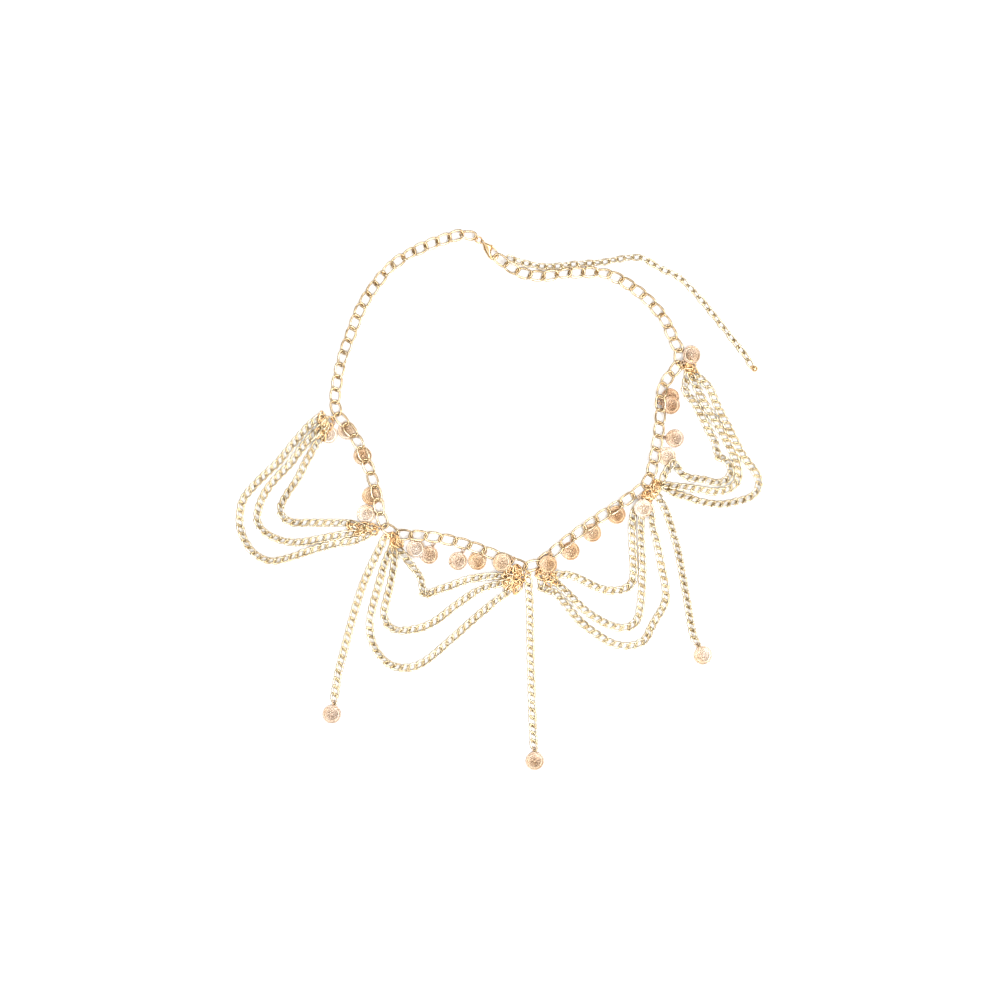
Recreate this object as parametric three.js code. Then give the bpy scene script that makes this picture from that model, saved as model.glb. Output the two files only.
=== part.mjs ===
import * as THREE from 'three';

// A coin and chain waist belt, laid flat: an open-link belt chain in a loop,
// four groups of three chain swags, three tassel chains, small coins along the
// front, and a clasp with an extension chain at the back.
// Millimetres, +Z up. The floor is Z = 0, the tassels point to -Y.

// Belt chain: oval links of round wire
const BELT_WIRE = 1.3;
const LINK_WIDTH = 7.7;
const LINK_LENGTH = 13;
const LINK_RISE = 1.7;
const JOINT_RISE = 2.7;

// Fine chain of the swags and tassels, and the rounder one of the extension
const FINE = { pitch: 5.45, wide: 2.1, narrow: 1.4, low: 1.5, high: 2.1 };
const EXTENDER = { pitch: 5.6, wide: 2.2, narrow: 1.3, low: 1.4, high: 2.1 };

// Coins
const COIN_RADIUS = 6.4;
const COIN_THICK = 1.2;
const COIN_BORDER = 0.9;
const COIN_SUNK = 0.3;
const COIN_SIDES = 14;
const EAR_REACH = 7.8;

// Wire of the jump rings that gather the chain ends
const RING_WIRE = 1;

// Clasp, from its tail eye to its nose
const CLASP_LENGTH = 15.2;
const CLASP_WIDTH = 7.6;
const CLASP_THICK = 2.6;
const HOOK_WALL = 1.7;
const DROP_RADIUS = 2.3;

// Pieces keep this clearance, and what lies on another is lifted clear of it
const CLEARANCE = 0.3;
const OVER_COIN = COIN_THICK + CLEARANCE;
const OVER_FINE = FINE.high + CLEARANCE;
const OVER_BELT = JOINT_RISE + CLEARANCE;
const RAMP = 4;
const STEPS_BETWEEN_POINTS = 40;

// The middle of the outline stands at the origin
const SHIFT_X = 0.34;
const SHIFT_Y = -0.4675;

const chainGold = new THREE.MeshStandardMaterial({ color: 0xe6bf8c, roughness: 0.22, metalness: 1 });
const coinGold = new THREE.MeshStandardMaterial({ color: 0xe9c596, roughness: 0.32, metalness: 1 });
chainGold.name = 'chain_gold';
coinGold.name = 'coin_gold';

const belt = new THREE.Group();

// Belt chain by stretch: its links, and the line of their middles
const BELT_STRETCHES = [
  { name: 'belt_rear_left', links: 20, route: [
    [-18.1, 184.4], [-25.9, 186.2], [-36.9, 183.3], [-56, 176], [-74.2, 165.2], [-87.9, 149.6],
    [-97.6, 133.9], [-103.9, 117.2], [-110.3, 99.4], [-114, 82.3], [-115.8, 68.6], [-113.9, 60]] },
  { name: 'belt_front_left', links: 9, route: [
    [-113.9, 60], [-105.4, 49.9], [-99.8, 41.9], [-95.4, 31.4], [-89, 14.6], [-84.6, -4.8],
    [-82.9, -14.3], [-80.9, -18.5]] },
  { name: 'belt_front_centre_left', links: 10, route: [
    [-80.9, -18.5], [-77, -23.1], [-67.9, -24.3], [-57.5, -24.7], [-46.6, -25.8], [-26.1, -30.3],
    [-5.7, -37.5], [13.6, -45.5], [17.8, -47.1]] },
  { name: 'belt_front_centre_right', links: 10, route: [
    [17.8, -47.1], [22.3, -47.3], [30.5, -42.3], [47, -28.6], [63.5, -16.5], [80.4, -5.3],
    [97.6, 6.4], [101.3, 9.5]] },
  { name: 'belt_front_right', links: 10, route: [
    [101.3, 9.5], [104.9, 14], [106.5, 21.9], [110.3, 40.9], [112.3, 59.6], [111.9, 68.9],
    [113.7, 78.7], [117.8, 86], [123.9, 91.7], [125.7, 95.5]] },
  { name: 'belt_rear_right', links: 18, route: [
    [125.7, 95.5], [126.6, 100.8], [124.5, 107.1], [120, 115.4], [116.5, 124.3], [105.8, 138],
    [91.6, 149.9], [74.1, 158.5], [47.1, 158.8], [28.3, 156.5], [18.6, 158], [9, 161.4],
    [2, 166.6], [-2.9, 170.7]] },
];

// Swags, tassels and the extension, each from its fastened end
const FINE_CHAINS = [
  { name: 'swag_left_outer', kind: FINE, route: [
    [-122.8, 59.8], [-127.4, 57.2], [-133.3, 52.2], [-144.2, 40], [-154.4, 27.3], [-165.7, 16.5],
    [-174.5, 7.3], [-180.2, -0.7], [-182, -10.4], [-181.6, -20], [-177, -31.2], [-170.5, -38.5],
    [-161.7, -42.5], [-152.8, -41.7], [-134.3, -36], [-113.5, -30.2], [-100.8, -28.3], [-91.3, -25.6]] },
  { name: 'swag_left_middle', kind: FINE, route: [
    [-123.2, 55], [-128, 48.3], [-137.5, 37.9], [-146.4, 25.8], [-162.5, 8.1], [-168.9, -5.6],
    [-169.7, -15.2], [-165.7, -21.6], [-156.9, -26.9], [-142.1, -29.8], [-125.5, -27.2],
    [-115.1, -25.2], [-103.8, -23.1], [-92, -22]] },
  { name: 'swag_left_inner', kind: FINE, route: [
    [-121.4, 50.7], [-126.1, 43], [-131.1, 34.6], [-136.8, 25], [-140.8, 16.2], [-150.8, 0.9],
    [-153.6, -5.5], [-152, -12], [-145.6, -15.6], [-135.9, -16], [-114.2, -16], [-103.6, -16.2],
    [-91.4, -18.3]] },
  { name: 'swag_centre_left_inner', kind: FINE, route: [
    [-70.5, -33], [-67.7, -37.9], [-62.6, -44.7], [-57.5, -51.5], [-54.4, -56.7], [-54.2, -63],
    [-52.1, -67.5], [-48.1, -64.8], [-42.2, -62.6], [-33.7, -60], [-25.3, -56.6], [-16, -54.5],
    [-5.7, -53.2], [6.9, -51.9]] },
  { name: 'swag_centre_left_middle', kind: FINE, route: [
    [-73.8, -34.7], [-73.6, -43], [-75.3, -53.2], [-79.5, -71], [-81.3, -79.5], [-80.4, -84.6],
    [-76.2, -89.7], [-69.4, -91.4], [-61.7, -91], [-54.1, -89.2], [-46.5, -85.9], [-30.4, -73.6],
    [-15.1, -63.4], [-7.4, -60.4], [1, -58.1], [7, -55.7]] },
  { name: 'swag_centre_left_outer', kind: FINE, route: [
    [-77.8, -34.2], [-79.5, -41.4], [-85.5, -61.7], [-90.6, -82], [-91, -91.4], [-88.9, -100.7],
    [-83.8, -109.2], [-77, -115.1], [-68.5, -117.7], [-60.1, -116.8], [-51.6, -112.6], [-35.4, -99],
    [-18.5, -83.8], [-3.2, -71], [4.4, -65.1], [8.7, -59.9]] },
  { name: 'swag_centre_right_inner', kind: FINE, route: [
    [33.9, -51.5], [40.2, -51.9], [49, -52.7], [58.7, -56.7], [68.3, -61.5], [76.9, -63.6],
    [85.2, -63.1], [91, -60.2], [93.7, -54.7], [93.6, -46.3], [92.8, -27.8], [92.5, -14],
    [94.5, -6.3], [98.8, -1.8]] },
  { name: 'swag_centre_right_middle', kind: FINE, route: [
    [33.4, -55], [41.1, -59.1], [47.8, -65.5], [59.8, -77.5], [74.3, -86.5], [85, -89.9],
    [90.6, -88.9], [95.3, -85.5], [97.4, -80.8], [99, -69.8], [99.7, -58.7], [99.7, -42],
    [98.7, -20.6], [99.1, -11.9], [102.8, -2.7]] },
  { name: 'swag_centre_right_outer', kind: FINE, route: [
    [27.2, -57], [28.7, -61.4], [33, -63], [38.1, -64.4], [45.4, -72.4], [56.8, -85.5],
    [70.6, -95.9], [80.9, -101.3], [92, -102.3], [101.4, -98.3], [106, -88.9], [111.4, -80.1],
    [116.1, -70.8], [116.1, -60.9], [113.7, -49], [110.1, -30.2], [106.9, -18.2], [106.1, -9.8],
    [106, -2.9]] },
  { name: 'swag_right_outer', kind: FINE, route: [
    [136.5, 91.5], [145.7, 80], [152.2, 66.1], [160.8, 49.4], [170.9, 30], [179.4, 18.9],
    [181.7, 10.4], [176.9, 2.8], [165.8, -1.1], [155.7, -3.1], [145.5, -2.3], [138.7, -1],
    [131.9, 1.8], [123.3, 4], [114.9, 7.7]] },
  { name: 'swag_right_middle', kind: FINE, route: [
    [133.9, 87.8], [138.9, 76.6], [144.9, 64.7], [153.2, 51.4], [160.8, 37.6], [165, 29.1],
    [167.3, 19.7], [165.8, 12.1], [159, 7], [150.6, 5.6], [139.6, 7.3], [129.4, 8.8],
    [121.8, 9.8], [115.4, 11.8]] },
  { name: 'swag_right_inner', kind: FINE, route: [
    [130.8, 87.6], [130.2, 82.5], [129.8, 75.6], [135.8, 68.6], [141.3, 58.8], [146.4, 48.6],
    [151.4, 38.4], [152.3, 30.8], [157.4, 28.3], [161.6, 23.4], [161.7, 18.1], [158.2, 13.6],
    [150.6, 11.9], [145.5, 13.8], [138.7, 14.7], [131.9, 15.5], [126, 19.7], [122.1, 26.6],
    [118.6, 23.1], [116.1, 18.9], [113.6, 14.8]] },
  { name: 'tassel_left', kind: FINE, route: [
    [-83.1, -32.5], [-90.2, -46.2], [-97.2, -63], [-103, -82.5], [-108.4, -102.8], [-113.7, -124.3],
    [-116.3, -141.9]] },
  { name: 'tassel_centre', kind: FINE, route: [
    [20.4, -59.6], [21.1, -72.8], [21.3, -93.3], [21.8, -113.9], [22.6, -144.7], [23.8, -174.5]] },
  { name: 'tassel_right', kind: FINE, route: [
    [111, 3.5], [115.8, -6.5], [119.4, -16.4], [124.8, -36], [129.2, -59.2], [132.8, -80.6],
    [135.7, -95.5], [138.3, -101.5]] },
  { name: 'extension_chain', kind: EXTENDER, route: [
    [8.5, 169], [14.2, 166.7], [25.1, 164.2], [30.7, 163.4], [38.7, 164.2], [54.7, 166.3],
    [72.4, 167.2], [84.1, 168.8], [95.8, 170], [100.9, 169], [111.2, 162.6], [125.5, 155.8],
    [139.2, 142], [152.9, 125.3], [166.7, 107.6], [171.6, 101.7], [176.1, 93.6]] },
];

// Coins: the middle, the heading of the ear, how high the underside lies, and
// for a coin that leans, the angle and the heading of its raised side
const COINS = [
  { name: 'coin_left_1', x: -120, y: 45.8, ear: 68, rise: 0, lean: 0, up: 0 },
  { name: 'coin_left_2', x: -107.2, y: 48.6, ear: -27, rise: 0, lean: 0, up: 0 },
  { name: 'coin_left_3', x: -96.2, y: 30.8, ear: -60, rise: 0, lean: 0, up: 0 },
  { name: 'coin_left_4', x: -90.3, y: 2.8, ear: -25, rise: 0, lean: 0, up: 0 },
  { name: 'coin_left_5', x: -93.8, y: -9.8, ear: 0, rise: 0, lean: 0, up: 0 },
  { name: 'coin_centre_left_1', x: -58.8, y: -34.1, ear: 112, rise: 0, lean: 9, up: -27 },
  { name: 'coin_centre_left_2', x: -49.7, y: -38.5, ear: 67, rise: 0, lean: 0, up: 0 },
  { name: 'coin_centre_left_3', x: -29.4, y: -42.8, ear: 63, rise: 0, lean: 0, up: 0 },
  { name: 'coin_centre_left_4', x: -15.9, y: -42.7, ear: 50, rise: 0, lean: 0, up: 0 },
  { name: 'coin_centre_left_5', x: 1.3, y: -43.7, ear: 60, rise: OVER_BELT, lean: 0, up: 0 },
  { name: 'coin_centre_right_1', x: 33.6, y: -45.1, ear: 82, rise: OVER_BELT + 0.15, lean: 0, up: 0 },
  { name: 'coin_centre_right_2', x: 49.4, y: -35.8, ear: 80, rise: 0, lean: 0, up: 0 },
  { name: 'coin_centre_right_3', x: 64.6, y: -23, ear: 65, rise: 0, lean: 0, up: 0 },
  { name: 'coin_centre_right_4', x: 81.6, y: -10.4, ear: 66, rise: 0, lean: 0, up: 0 },
  { name: 'coin_centre_right_5', x: 100.1, y: -5.9, ear: 110, rise: OVER_FINE, lean: 0, up: 0 },
  { name: 'coin_right_1', x: 116.9, y: 30.6, ear: 143, rise: 0, lean: 0, up: 0 },
  { name: 'coin_right_2', x: 122.5, y: 43.1, ear: 175, rise: 0, lean: 0, up: 0 },
  { name: 'coin_right_3', x: 119.6, y: 66.5, ear: 170, rise: OVER_COIN, lean: 0, up: 0 },
  { name: 'coin_right_4', x: 119.2, y: 71.8, ear: 190, rise: 0, lean: 0, up: 0 },
  { name: 'coin_right_5', x: 133.8, y: 101.6, ear: 220, rise: 0, lean: 16, up: 180 },
  { name: 'coin_tassel_left', x: -117.7, y: -150, ear: 80, rise: 0, lean: 0, up: 0 },
  { name: 'coin_tassel_centre', x: 24.4, y: -182.7, ear: 94, rise: 0, lean: 0, up: 0 },
  { name: 'coin_tassel_right', x: 142.2, y: -108.8, ear: 119, rise: 0, lean: 0, up: 0 },
];

// Jump rings: the middle, and the radius of the wire's line
const RINGS = [
  { name: 'ring_left_rear', x: -119.3, y: 55.9, radius: 2.6 },
  { name: 'ring_left_front', x: -88.1, y: -22, radius: 3.05 },
  { name: 'ring_tassel_left', x: -82, y: -28.3, radius: 2.9 },
  { name: 'ring_centre_left_start', x: -74.3, y: -30.9, radius: 2.95 },
  { name: 'ring_centre_left_end', x: 11.4, y: -53.7, radius: 3.4 },
  { name: 'ring_tassel_centre', x: 20.2, y: -55.4, radius: 2.9 },
  { name: 'ring_centre_right_start', x: 29.7, y: -52.6, radius: 3.4 },
  { name: 'ring_centre_right_end', x: 103.4, y: 1.3, radius: 3.05 },
  { name: 'ring_tassel_right', x: 108.9, y: 5.7, radius: 2.2 },
  { name: 'ring_right_end', x: 111.7, y: 11.2, radius: 2.6 },
  { name: 'ring_right_start', x: 132.1, y: 91.3, radius: 2.65 },
  { name: 'ring_clasp', x: -15, y: 182.2, radius: 2.4 },
];

const CLASP = { tailX: -12, tailY: 180.4, noseX: -2, noseY: 168.9 };
const DROP = { x: 178.2, y: 91.8 };

// A named solid of the belt
function addPiece(name, geometry, material) {
  const mesh = new THREE.Mesh(geometry, material);
  mesh.name = name;
  belt.add(mesh);
  return mesh;
}

// A closed mesh from its corners and its faces of three or four corners
function solidFrom(corners, faces) {
  const geometry = new THREE.BufferGeometry();
  const index = [];
  for (const face of faces) {
    for (let i = 2; i < face.length; i += 1) {
      index.push(face[0], face[i - 1], face[i]);
    }
  }
  geometry.setAttribute('position', new THREE.Float32BufferAttribute(corners.flat(), 3));
  geometry.setIndex(index);
  geometry.computeVertexNormals();
  return geometry;
}

// A smooth line on the floor through the points of a route
function routeCurve(route) {
  const points = route.map(([x, y]) => new THREE.Vector3(x, y, 0));
  return new THREE.CatmullRomCurve3(points, false, 'centripetal');
}

// The place, and the sideways direction to the left, at a distance along a line
function stationAt(curve, distance) {
  const share = THREE.MathUtils.clamp(distance / curve.getLength(), 0, 1);
  const place = curve.getPointAt(share);
  const ahead = curve.getTangentAt(share);
  return { x: place.x, y: place.y, leftX: -ahead.y, leftY: ahead.x };
}

// What a chain can lie on: the coins below it, flat or slightly leaning, and the clasp's nose
const MOST_LEAN = 10;
const SUPPORTS = COINS
  .filter((coin) => coin.rise <= OVER_COIN && coin.lean <= MOST_LEAN && !coin.name.startsWith('coin_tassel'))
  .map((coin) => {
    const middle = COIN_RADIUS * Math.sin(THREE.MathUtils.degToRad(coin.lean));
    return { x: coin.x, y: coin.y, radius: COIN_RADIUS, height: coin.rise + OVER_COIN + middle };
  });
SUPPORTS.push({ x: CLASP.noseX, y: CLASP.noseY, radius: CLASP_WIDTH / 2, height: CLASP_THICK + CLEARANCE });

// How high a chain is carried at a place
function liftAt(x, y, halfWidth) {
  let lift = 0;
  for (const support of SUPPORTS) {
    const away = Math.hypot(x - support.x, y - support.y) - support.radius - halfWidth - CLEARANCE;
    const share = 1 - THREE.MathUtils.clamp(away / RAMP, 0, 1);
    lift = Math.max(lift, support.height * share);
  }
  return lift;
}

// Half the width of a link's round end, at a distance from the link's middle
function endHalfWidth(distance, radius) {
  const straight = (LINK_LENGTH - LINK_WIDTH) / 2;
  return Math.sqrt(radius ** 2 - (distance - straight) ** 2);
}

// A stretch of belt chain. Each link is an open oval whose wire has a ridge, and
// neighbours share the joint where their round ends cross.
function beltStretch(curve, begin, end, links) {
  const pitch = (end - begin - CLEARANCE) / links;
  const outer = LINK_WIDTH / 2;
  const middle = outer - BELT_WIRE / 2;
  const inner = outer - BELT_WIRE;
  const straight = (LINK_LENGTH - LINK_WIDTH) / 2;
  const holeEnd = pitch / 2 - BELT_WIRE * 0.75;
  const holeEndHalf = endHalfWidth(holeEnd, inner);
  const jointOuter = endHalfWidth(pitch / 2, outer);
  const jointRidge = endHalfWidth(pitch / 2, middle);
  const corners = [];
  const faces = [];

  function corner(distance, side, height) {
    const at = stationAt(curve, distance);
    const lift = liftAt(at.x, at.y, outer);
    corners.push([at.x + at.leftX * side, at.y + at.leftY * side, lift + height]);
    return corners.length - 1;
  }
  function joint(distance) {
    return {
      outer: [corner(distance, jointOuter, 0), corner(distance, -jointOuter, 0)],
      ridge: [corner(distance, jointRidge, JOINT_RISE), corner(distance, -jointRidge, JOINT_RISE)],
    };
  }
  function shoulder(distance) {
    return {
      outer: [corner(distance, outer, 0), corner(distance, -outer, 0)],
      ridge: [corner(distance, middle, LINK_RISE), corner(distance, -middle, LINK_RISE)],
      inner: [corner(distance, inner, 0), corner(distance, -inner, 0)],
    };
  }
  function mouth(distance) {
    return { inner: [corner(distance, holeEndHalf, 0), corner(distance, -holeEndHalf, 0)] };
  }

  const start = begin + CLEARANCE / 2;
  let from = joint(start);
  faces.push([from.outer[0], from.outer[1], from.ridge[1], from.ridge[0]]);
  for (let link = 0; link < links; link += 1) {
    const centre = start + (link + 0.5) * pitch;
    const mouthA = mouth(centre - holeEnd);
    const shoulderA = shoulder(centre - straight);
    const shoulderB = shoulder(centre + straight);
    const mouthB = mouth(centre + holeEnd);
    const to = joint(centre + pitch / 2);
    const outline = [from, shoulderA, shoulderB, to];
    const opening = [mouthA, shoulderA, shoulderB, mouthB];
    for (let i = 0; i < 3; i += 1) {
      const a = outline[i];
      const b = outline[i + 1];
      const c = opening[i];
      const d = opening[i + 1];
      faces.push([a.outer[0], b.outer[0], d.inner[0], c.inner[0]]);
      faces.push([b.outer[1], a.outer[1], c.inner[1], d.inner[1]]);
      faces.push([b.outer[0], a.outer[0], a.ridge[0], b.ridge[0]]);
      faces.push([a.outer[1], b.outer[1], b.ridge[1], a.ridge[1]]);
      faces.push([b.ridge[0], a.ridge[0], c.inner[0], d.inner[0]]);
      faces.push([a.ridge[1], b.ridge[1], d.inner[1], c.inner[1]]);
    }
    faces.push([from.outer[0], mouthA.inner[0], mouthA.inner[1], from.outer[1]]);
    faces.push([to.outer[1], mouthB.inner[1], mouthB.inner[0], to.outer[0]]);
    faces.push([from.ridge[1], mouthA.inner[1], mouthA.inner[0], from.ridge[0]]);
    faces.push([to.ridge[0], mouthB.inner[0], mouthB.inner[1], to.ridge[1]]);
    from = to;
  }
  faces.push([from.outer[1], from.outer[0], from.ridge[0], from.ridge[1]]);
  return solidFrom(corners, faces);
}

// A fine chain: wide at each link's middle, narrow and high where two links cross
function fineChain(route, kind) {
  const curve = routeCurve(route);
  const length = curve.getLength();
  const links = Math.round(length / kind.pitch);
  const corners = [];
  const faces = [];
  for (let step = 0; step <= 2 * links; step += 1) {
    const atMiddle = step % 2 === 1;
    const half = atMiddle ? kind.wide : kind.narrow;
    const height = atMiddle ? kind.low : kind.high;
    const at = stationAt(curve, (length * step) / (2 * links));
    const lift = liftAt(at.x, at.y, kind.wide);
    corners.push([at.x + at.leftX * half, at.y + at.leftY * half, lift]);
    corners.push([at.x - at.leftX * half, at.y - at.leftY * half, lift]);
    corners.push([at.x, at.y, lift + height]);
    if (step > 0) {
      const [left, right, top] = [3 * step, 3 * step + 1, 3 * step + 2];
      faces.push([left - 3, left, right, right - 3]);
      faces.push([left, left - 3, top - 3, top]);
      faces.push([right - 3, right, top, top - 3]);
    }
  }
  const last = 6 * links;
  faces.push([0, 1, 2]);
  faces.push([last + 1, last, last + 2]);
  return solidFrom(corners, faces);
}

// A coin with a raised border, its rim drawn out to an ear towards +X
function coinSolid() {
  const corners = [[0, 0, 0], [0, 0, COIN_THICK - COIN_SUNK]];
  const faces = [];
  const bands = [
    { inset: 0, height: 0 },
    { inset: 0, height: COIN_THICK },
    { inset: COIN_BORDER, height: COIN_THICK },
    { inset: COIN_BORDER + COIN_SUNK, height: COIN_THICK - COIN_SUNK },
  ];
  for (const band of bands) {
    for (let i = 0; i < COIN_SIDES; i += 1) {
      const angle = (2 * Math.PI * i) / COIN_SIDES;
      const rim = i === 0 ? EAR_REACH : COIN_RADIUS;
      const radius = rim - band.inset;
      corners.push([radius * Math.cos(angle), radius * Math.sin(angle), band.height]);
    }
  }
  for (let i = 0; i < COIN_SIDES; i += 1) {
    const a = 2 + i;
    const b = 2 + ((i + 1) % COIN_SIDES);
    const top = COIN_SIDES * (bands.length - 1);
    faces.push([0, b, a]);
    faces.push([1, a + top, b + top]);
    for (let band = 0; band < bands.length - 1; band += 1) {
      const step = COIN_SIDES * band;
      faces.push([a + step, b + step, b + step + COIN_SIDES, a + step + COIN_SIDES]);
    }
  }
  return solidFrom(corners, faces);
}

// The clasp lies with its tail at the local origin and its nose towards +X
function claspOutline(inset) {
  const half = CLASP_WIDTH / 2 - inset;
  const nose = CLASP_LENGTH - inset;
  const round = CLASP_LENGTH - CLASP_WIDTH / 2;
  return { half, nose, round };
}

function claspBody() {
  const { half, nose, round } = claspOutline(0);
  const hook = claspOutline(HOOK_WALL);
  const shape = new THREE.Shape();
  shape.moveTo(0, -1.1);
  shape.lineTo(round - 3, -half);
  shape.quadraticCurveTo(nose, -half, nose, 0);
  shape.quadraticCurveTo(nose, half * 0.8, round + 0.6, half);
  shape.lineTo(round, hook.half);
  shape.quadraticCurveTo(hook.nose, hook.half * 0.8, hook.nose, 0);
  shape.quadraticCurveTo(hook.nose, -hook.half, round - 2.4, -hook.half);
  shape.lineTo(CLASP_LENGTH * 0.42, 0);
  shape.lineTo(CLASP_LENGTH * 0.42, 1.9);
  shape.lineTo(0, 1.1);
  return new THREE.ExtrudeGeometry(shape, { depth: CLASP_THICK, bevelEnabled: false, curveSegments: 5 });
}

function claspTrigger() {
  const { half, round } = claspOutline(0);
  const hinge = CLASP_LENGTH * 0.42 + CLEARANCE;
  const shape = new THREE.Shape();
  shape.moveTo(hinge, 0.5);
  shape.lineTo(hinge + 2, half - HOOK_WALL);
  shape.lineTo(round - CLEARANCE, half - HOOK_WALL);
  shape.lineTo(round + 0.6 - CLEARANCE, half);
  shape.lineTo(hinge + 1.6, half);
  shape.lineTo(hinge - 0.6, half + 1.1);
  shape.lineTo(hinge - 1.4, half + 0.5);
  shape.lineTo(hinge, 2.2);
  return new THREE.ExtrudeGeometry(shape, { depth: CLASP_THICK * 0.7, bevelEnabled: false });
}

// The stretches share one line, so that their end links face each other squarely
const beltPoints = BELT_STRETCHES.flatMap((stretch, i) => (i === 0 ? stretch.route : stretch.route.slice(1)));
const beltCurve = routeCurve(beltPoints);
const distances = beltCurve.getLengths((beltPoints.length - 1) * STEPS_BETWEEN_POINTS);
beltCurve.arcLengthDivisions = distances.length - 1;
let pointsPassed = 0;
for (const stretch of BELT_STRETCHES) {
  const begin = distances[pointsPassed * STEPS_BETWEEN_POINTS];
  pointsPassed += stretch.route.length - 1;
  const end = distances[pointsPassed * STEPS_BETWEEN_POINTS];
  addPiece(stretch.name, beltStretch(beltCurve, begin, end, stretch.links), chainGold);
}

for (const chain of FINE_CHAINS) {
  addPiece(chain.name, fineChain(chain.route, chain.kind), chainGold);
}

for (const coin of COINS) {
  const mesh = addPiece(coin.name, coinSolid(), coinGold);
  const up = THREE.MathUtils.degToRad(coin.up);
  const lean = THREE.MathUtils.degToRad(coin.lean);
  const tilt = new THREE.Quaternion().setFromAxisAngle(
    new THREE.Vector3(Math.sin(up), -Math.cos(up), 0), lean);
  const turn = new THREE.Quaternion().setFromAxisAngle(
    new THREE.Vector3(0, 0, 1), THREE.MathUtils.degToRad(coin.ear));
  mesh.quaternion.copy(tilt).multiply(turn);
  mesh.position.set(coin.x, coin.y, coin.rise + COIN_RADIUS * Math.sin(lean));
}

for (const ring of RINGS) {
  const geometry = new THREE.TorusGeometry(ring.radius, RING_WIRE / 2, 4, 10);
  addPiece(ring.name, geometry, chainGold).position.set(ring.x, ring.y, RING_WIRE / 2);
}

const claspHeading = Math.atan2(CLASP.noseY - CLASP.tailY, CLASP.noseX - CLASP.tailX);
for (const [name, geometry] of [['clasp_body', claspBody()], ['clasp_trigger', claspTrigger()]]) {
  const mesh = addPiece(name, geometry, chainGold);
  mesh.position.set(CLASP.tailX, CLASP.tailY, 0);
  mesh.rotation.z = claspHeading;
}

const drop = addPiece('end_drop', new THREE.SphereGeometry(DROP_RADIUS, 8, 6), chainGold);
drop.position.set(DROP.x, DROP.y, DROP_RADIUS);

belt.position.set(SHIFT_X, SHIFT_Y, 0);

export default belt;
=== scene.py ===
import bisect
import math
import random

import bmesh
import bpy
from mathutils import Matrix, Vector
from mathutils.geometry import interpolate_bezier


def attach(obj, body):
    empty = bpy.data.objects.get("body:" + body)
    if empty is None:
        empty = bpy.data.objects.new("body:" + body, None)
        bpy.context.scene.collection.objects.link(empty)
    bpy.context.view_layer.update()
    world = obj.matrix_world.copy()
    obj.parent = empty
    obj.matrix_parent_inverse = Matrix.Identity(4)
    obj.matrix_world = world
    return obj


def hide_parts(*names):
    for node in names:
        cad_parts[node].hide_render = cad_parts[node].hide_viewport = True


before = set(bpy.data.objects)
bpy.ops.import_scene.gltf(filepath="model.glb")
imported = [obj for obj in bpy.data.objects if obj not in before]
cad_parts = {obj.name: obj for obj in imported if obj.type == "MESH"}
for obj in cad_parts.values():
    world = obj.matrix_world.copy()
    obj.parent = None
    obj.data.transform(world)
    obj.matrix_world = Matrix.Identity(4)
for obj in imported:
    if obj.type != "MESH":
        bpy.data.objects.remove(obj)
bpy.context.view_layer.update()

# The coins: thin discs stamped from brass sheet, with a beaded border inside two rims, a
# wreath and a ring of strokes on the face, and an ear at the rim. A small jump ring hangs
# each by its ear on the belt or on a tassel. They are tumbled and plated a warm pale gold.

COIN_RADIUS = 0.0064
COIN_THICK = 0.0012
RIM_RISE = 0.00015
# Width and rise of each step inwards: outer rim, bed of the beads, inner rim, down to the field
COIN_STEPS = [(0.0003, RIM_RISE), (0.0003, 0), (0.0004, -0.00035), (0.0003, 0), (0.0004, 0.00025),
              (0.0002, 0), (0.0005, -0.0003)]
COIN_BEADS = 40
COIN_BEAD = 0.00026
BEAD_CIRCLE = COIN_RADIUS - 0.00115
BEAD_HEIGHT = COIN_THICK - 0.0002
COIN_STROKES = 22
STROKE_CIRCLE = 0.0034
STROKE_HALF_SIZE = (0.00045, 0.0002, 0.00025)
STROKE_EXTRA = 0.0001
COIN_LEAVES = 7
LEAF_CIRCLE = 0.0021
LEAF_TURN = 1.0
LEAF_HALF_SIZE = (0.0011, 0.0005, 0.0005)
BOSS_HALF_SIZE = (0.0014, 0.0009, 0.0006)
EAR_RADIUS = 0.0012
EAR_HOLE = 0.0006
EAR_REACH = 0.0069
COIN_RING_RADIUS = 0.0014
COIN_RING_WIRE = 0.0008
COIN_RING_TILT = math.radians(35)

# Heights at which a coin lies on another coin, on fine chain and on the belt chain
ON_A_COIN = COIN_THICK + RIM_RISE
ON_FINE_CHAIN = 0.0031
ON_BELT_CHAIN = 0.0029

# The middle of the belt's outline, from where the routes are measured
MIDDLE = Vector((0.00034, -0.0004675, 0))

# Colours of the plating from its darker to its lighter patches, and the share of each that the hollows keep:
# the hollows are darker as painted shade
PLATINGS = {
    "deep": ["#B88E6B", "#C4A282", "#CCB099"],
    "warm": ["#C39972", "#CFAE8A", "#D8BEA3"],
    "middling": ["#BF9F80", "#CDB196", "#D4BDAA"],
    "pale": ["#CFB293", "#DDC6AE", "#E6D5C6"],
}
HOLLOW_PAINTED_SHADE = 0.84
PLATING_STOPS = (0.55, 0.72, 0.9)
WEAR_SHARE = 0.55
SATIN_ROUGHNESS = 0.3

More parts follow.
